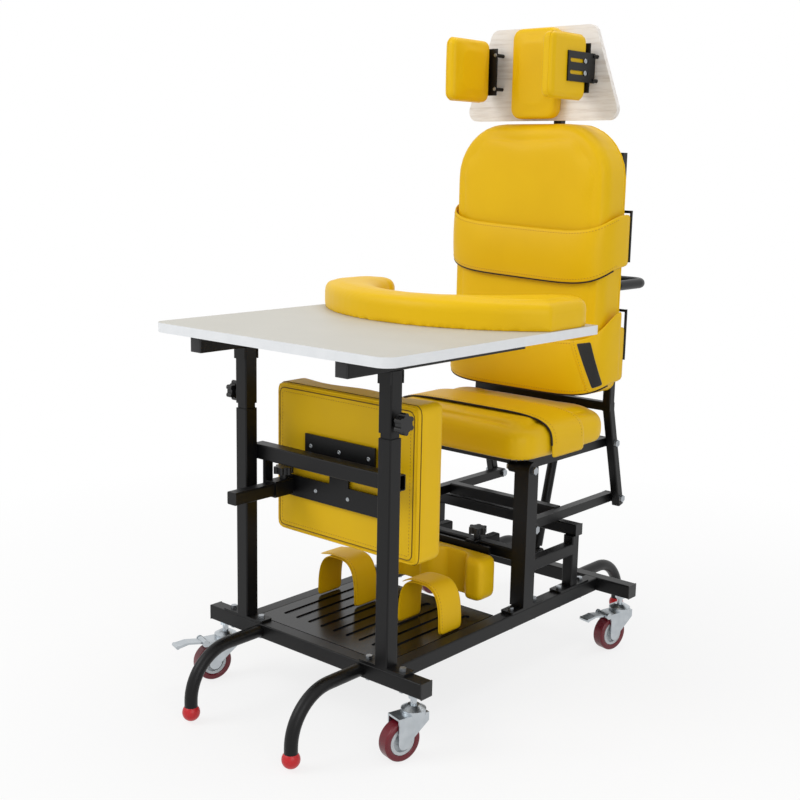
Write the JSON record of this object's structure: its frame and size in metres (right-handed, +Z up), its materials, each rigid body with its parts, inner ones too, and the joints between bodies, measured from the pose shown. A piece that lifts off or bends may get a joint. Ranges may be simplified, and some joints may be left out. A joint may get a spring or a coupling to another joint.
{
  "type": "standing frame",
  "caption": "Sit-to-stand standing frame on casters: padded seat and backrest on a parallel lift linkage, knee and calf pads, foot straps, belts, headrest and a cut-out tray.",
  "frame": {"origin": "on the floor under the middle of the base", "axes": "+X to the right as seen from the front (the seated user's left), +Y to the rear, +Z up"},
  "size_m": [0.6, 1.1178, 1.342],
  "materials": {
    "frame_paint": "satin black powder coat",
    "footplate_paint": "dark satin powder coat",
    "tip_rubber": "bright red moulded rubber",
    "zinc": "bright zinc plated",
    "tread": "maroon polyurethane tread on a grey hub",
    "yellow_vinyl": "stitched yellow vinyl",
    "yellow_belt": "padded yellow vinyl belt",
    "tray_laminate": "white laminated board with a pale edge",
    "head_laminate": "pale wood-grain laminate",
    "knob_plastic": "black moulded knob",
    "cap_plastic": "black plastic tube insert",
    "bolt_steel": "zinc plated steel",
    "strut_rod_steel": "polished rod"
  },
  "bodies": {
    "base": {"cross_tubes": "frame_paint", "side_rails": "frame_paint", "footplate": "footplate_paint", "anti_tip_legs": "frame_paint", "leg_tips": "tip_rubber", "caster_stems": "zinc", "front_posts": "frame_paint", "tray_slides": "frame_paint", "base_bolts": "bolt_steel", "front_crossbar": "frame_paint", "main_posts": "frame_paint", "calf_bar": "frame_paint", "rear_stand": "frame_paint", "foot_straps": "yellow_belt", "tube_caps": "cap_plastic", "pivot_bolts": "bolt_steel"},
    "tray": {"tray_sleeves": "frame_paint", "tray_rails": "frame_paint", "tray_board": "tray_laminate", "tray_bolster": "yellow_vinyl"},
    "knee": {"knee_carriage": "frame_paint", "knee_pad": "yellow_vinyl"},
    "calf": {"calf_slide": "frame_paint", "calf_pad": "yellow_vinyl"},
    "seat": {"seat_frame": "frame_paint", "seat_cushion": "yellow_vinyl", "thigh_belt": "yellow_belt"},
    "back": {"back_frame": "frame_paint", "back_cushion": "yellow_vinyl", "chest_belt": "yellow_belt", "hip_belt": "yellow_belt", "push_handle": "frame_paint", "link_bolts": "bolt_steel"},
    "link": {"lower_link": "frame_paint"},
    "strut_outer": {"strut_tube": "frame_paint"},
    "strut_inner": {"strut_rod": "strut_rod_steel"},
    "head": {"headrest_stem": "frame_paint", "headrest_board": "head_laminate", "headrest_pad": "yellow_vinyl", "headrest_brackets": "frame_paint"},
    "head_pad_left": {"side_pad_l": "yellow_vinyl"},
    "head_pad_right": {"side_pad_r": "yellow_vinyl"},
    "tray_knob_left": {"tray_knob_l": "knob_plastic"},
    "tray_knob_right": {"tray_knob_r": "knob_plastic"},
    "knee_turn_knob": {"knee_knob": "knob_plastic"},
    "calf_knob_left": {"calf_knob_l": "knob_plastic"},
    "calf_knob_right": {"calf_knob_r": "knob_plastic"},
    "head_turn_knob": {"headrest_knob": "knob_plastic"},
    "fork_fl": {"caster_fork_fl": "zinc"},
    "wheel_fl": {"caster_wheel_fl": "tread"},
    "pedal_fl": {"brake_pedal_fl": "zinc"},
    "fork_fr": {"caster_fork_fr": "zinc"},
    "wheel_fr": {"caster_wheel_fr": "tread"},
    "fork_rl": {"caster_fork_rl": "zinc"},
    "wheel_rl": {"caster_wheel_rl": "tread"},
    "fork_rr": {"caster_fork_rr": "zinc"},
    "wheel_rr": {"caster_wheel_rr": "tread"},
    "pedal_rr": {"brake_pedal_rr": "zinc"}
  },
  "joints": [
    {"name": "swivel_fl", "type": "hinge", "parent": "base", "child": "fork_fl", "pos_m": [-0.255, -0.353, 0.085], "axis": [0, 0, 1], "continuous": true},
    {"name": "roll_fl", "type": "hinge", "parent": "fork_fl", "child": "wheel_fl", "pos_m": [-0.26377, -0.38169, 0.0375], "axis": [0.9563, -0.2924, 0], "continuous": true},
    {"name": "brake_fl", "type": "hinge", "parent": "fork_fl", "child": "pedal_fl", "pos_m": [-0.26979, -0.40139, 0.083], "axis": [0.9563, -0.2924, 0], "range_deg": [0, 12]},
    {"name": "swivel_fr", "type": "hinge", "parent": "base", "child": "fork_fr", "pos_m": [0.255, -0.353, 0.085], "axis": [0, 0, 1], "continuous": true},
    {"name": "roll_fr", "type": "hinge", "parent": "fork_fr", "child": "wheel_fr", "pos_m": [0.24774, -0.38211, 0.0375], "axis": [0.9703, -0.2419, 0], "continuous": true},
    {"name": "swivel_rl", "type": "hinge", "parent": "base", "child": "fork_rl", "pos_m": [-0.255, 0.353, 0.085], "axis": [0, 0, 1], "continuous": true},
    {"name": "roll_rl", "type": "hinge", "parent": "fork_rl", "child": "wheel_rl", "pos_m": [-0.26226, 0.32389, 0.0375], "axis": [0.9703, -0.2419, 0], "continuous": true},
    {"name": "swivel_rr", "type": "hinge", "parent": "base", "child": "fork_rr", "pos_m": [0.255, 0.353, 0.085], "axis": [0, 0, 1], "continuous": true},
    {"name": "roll_rr", "type": "hinge", "parent": "fork_rr", "child": "wheel_rr", "pos_m": [0.24876, 0.32366, 0.0375], "axis": [0.9781, -0.2079, 0], "continuous": true},
    {"name": "brake_rr", "type": "hinge", "parent": "fork_rr", "child": "pedal_rr", "pos_m": [0.24448, 0.30351, 0.083], "axis": [0.9781, -0.2079, 0], "range_deg": [0, 12]},
    {"name": "tray_height", "type": "slide", "parent": "base", "child": "tray", "axis": [0, 0, 1], "range_m": [0, 0.07]},
    {"name": "tray_knob_left_turn", "type": "hinge", "parent": "tray", "child": "tray_knob_left", "pos_m": [-0.202, -0.353, 0.605], "axis": [1, 0, 0], "range_deg": [0, 360]},
    {"name": "tray_knob_right_turn", "type": "hinge", "parent": "tray", "child": "tray_knob_right", "pos_m": [0.202, -0.353, 0.605], "axis": [1, 0, 0], "range_deg": [0, 360]},
    {"name": "knee_depth", "type": "slide", "parent": "base", "child": "knee", "axis": [0, 1, 0], "range_m": [0, 0.1]},
    {"name": "knee_knob_turn", "type": "hinge", "parent": "base", "child": "knee_turn_knob", "pos_m": [-0.135, -0.303, 0.44], "axis": [0, 0, 1], "range_deg": [0, 360]},
    {"name": "calf_depth", "type": "slide", "parent": "base", "child": "calf", "axis": [0, 1, 0], "range_m": [-0.04, 0]},
    {"name": "calf_knob_left_turn", "type": "hinge", "parent": "base", "child": "calf_knob_left", "pos_m": [-0.065, 0.073, 0.28], "axis": [0, 0, 1], "range_deg": [0, 360]},
    {"name": "calf_knob_right_turn", "type": "hinge", "parent": "base", "child": "calf_knob_right", "pos_m": [0.065, 0.073, 0.28], "axis": [0, 0, 1], "range_deg": [0, 360]},
    {"name": "seat_lift", "type": "hinge", "parent": "base", "child": "seat", "pos_m": [0, 0.073, 0.442], "axis": [1, 0, 0], "range_deg": [0, 60]},
    {"name": "back_level", "type": "hinge", "parent": "seat", "child": "back", "pos_m": [0, 0.413, 0.442], "axis": [1, 0, 0], "range_deg": [-60, 0]},
    {"name": "link_swing", "type": "hinge", "parent": "base", "child": "link", "pos_m": [0, 0.109, 0.307], "axis": [1, 0, 0], "range_deg": [0, 60]},
    {"name": "strut_swing", "type": "hinge", "parent": "base", "child": "strut_outer", "pos_m": [0.03, 0.34801, 0.16505], "axis": [1, 0, 0], "range_deg": [0, 21.01]},
    {"name": "strut_extend", "type": "slide", "parent": "strut_outer", "child": "strut_inner", "axis": [0, 0.2419, 0.9703], "range_m": [0, 0.2888]},
    {"name": "headrest_height", "type": "slide", "parent": "back", "child": "head", "axis": [0, 0, 1], "range_m": [0, 0.08]},
    {"name": "headrest_knob_turn", "type": "hinge", "parent": "back", "child": "head_turn_knob", "pos_m": [0, 0.43, 1.01], "axis": [0, 1, 0], "range_deg": [0, 360]},
    {"name": "head_pad_left_depth", "type": "slide", "parent": "head", "child": "head_pad_left", "axis": [0, 1, 0], "range_m": [-0.03, 0]},
    {"name": "head_pad_right_depth", "type": "slide", "parent": "head", "child": "head_pad_right", "axis": [0, 1, 0], "range_m": [-0.03, 0]}
  ],
  "couplings": [
    {"joint": "back_level", "follows": "seat_lift", "ratio": -1},
    {"joint": "link_swing", "follows": "seat_lift", "ratio": 1},
    {"joint": "strut_swing", "follows": "seat_lift", "ratio": 0.34933},
    {"joint": "strut_extend", "follows": "seat_lift", "m_per_rad": 0.27527}
  ]
}
